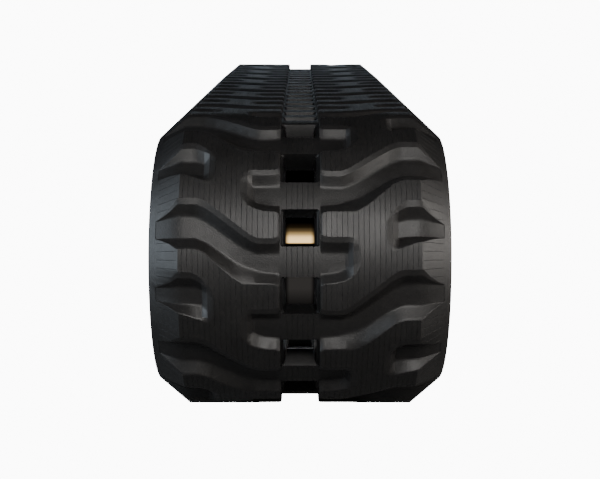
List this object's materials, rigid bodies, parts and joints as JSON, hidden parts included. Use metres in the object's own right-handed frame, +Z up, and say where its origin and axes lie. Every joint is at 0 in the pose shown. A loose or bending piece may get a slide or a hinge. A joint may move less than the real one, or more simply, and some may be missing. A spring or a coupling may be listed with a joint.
{
  "type": "rubber track",
  "caption": "Endless rubber crawler track with moulded tread blocks, curved grooves, sprocket windows, steel cores with guide horns, and tension cords.",
  "frame": {"origin": "middle of the belt's footprint, on the ground under the bottom run", "axes": "+Z up, the belt runs along Y with its near bend at -Y, +X across the belt to the right of someone facing the near bend"},
  "size_m": [0.4, 1.8004, 0.424],
  "materials": {
    "tread_rubber": "moulded black rubber, satin",
    "guide_side_rubber": "moulded black rubber, satin",
    "steel_cord": "brass-plated stranded steel cord",
    "fabric_ply": "rubberised woven ply",
    "forged_core": "forged steel with dark scale"
  },
  "bodies": {
    "root": {"tread_left": "tread_rubber", "guide_rubber_left": "guide_side_rubber", "cord_belt_left": "steel_cord", "fabric_ply_left": "fabric_ply", "tread_right": "tread_rubber", "guide_rubber_right": "guide_side_rubber", "cord_belt_right": "steel_cord", "fabric_ply_right": "fabric_ply", "centre_strip": "tread_rubber", "core_01": "forged_core", "core_02": "forged_core", "core_03": "forged_core", "core_04": "forged_core", "core_05": "forged_core", "core_06": "forged_core", "core_07": "forged_core", "core_08": "forged_core", "core_09": "forged_core", "core_10": "forged_core", "core_11": "forged_core", "core_12": "forged_core", "core_13": "forged_core", "core_14": "forged_core", "core_15": "forged_core", "core_16": "forged_core", "core_17": "forged_core", "core_18": "forged_core", "core_19": "forged_core", "core_20": "forged_core", "core_21": "forged_core", "core_22": "forged_core", "core_23": "forged_core", "core_24": "forged_core", "core_25": "forged_core", "core_26": "forged_core", "core_27": "forged_core", "core_28": "forged_core", "core_29": "forged_core", "core_30": "forged_core", "core_31": "forged_core", "core_32": "forged_core", "core_33": "forged_core", "core_34": "forged_core", "core_35": "forged_core", "core_36": "forged_core", "core_37": "forged_core", "core_38": "forged_core", "core_39": "forged_core", "core_40": "forged_core", "core_41": "forged_core", "core_42": "forged_core", "core_43": "forged_core", "core_44": "forged_core", "core_45": "forged_core", "core_46": "forged_core"}
  },
  "joints": []
}
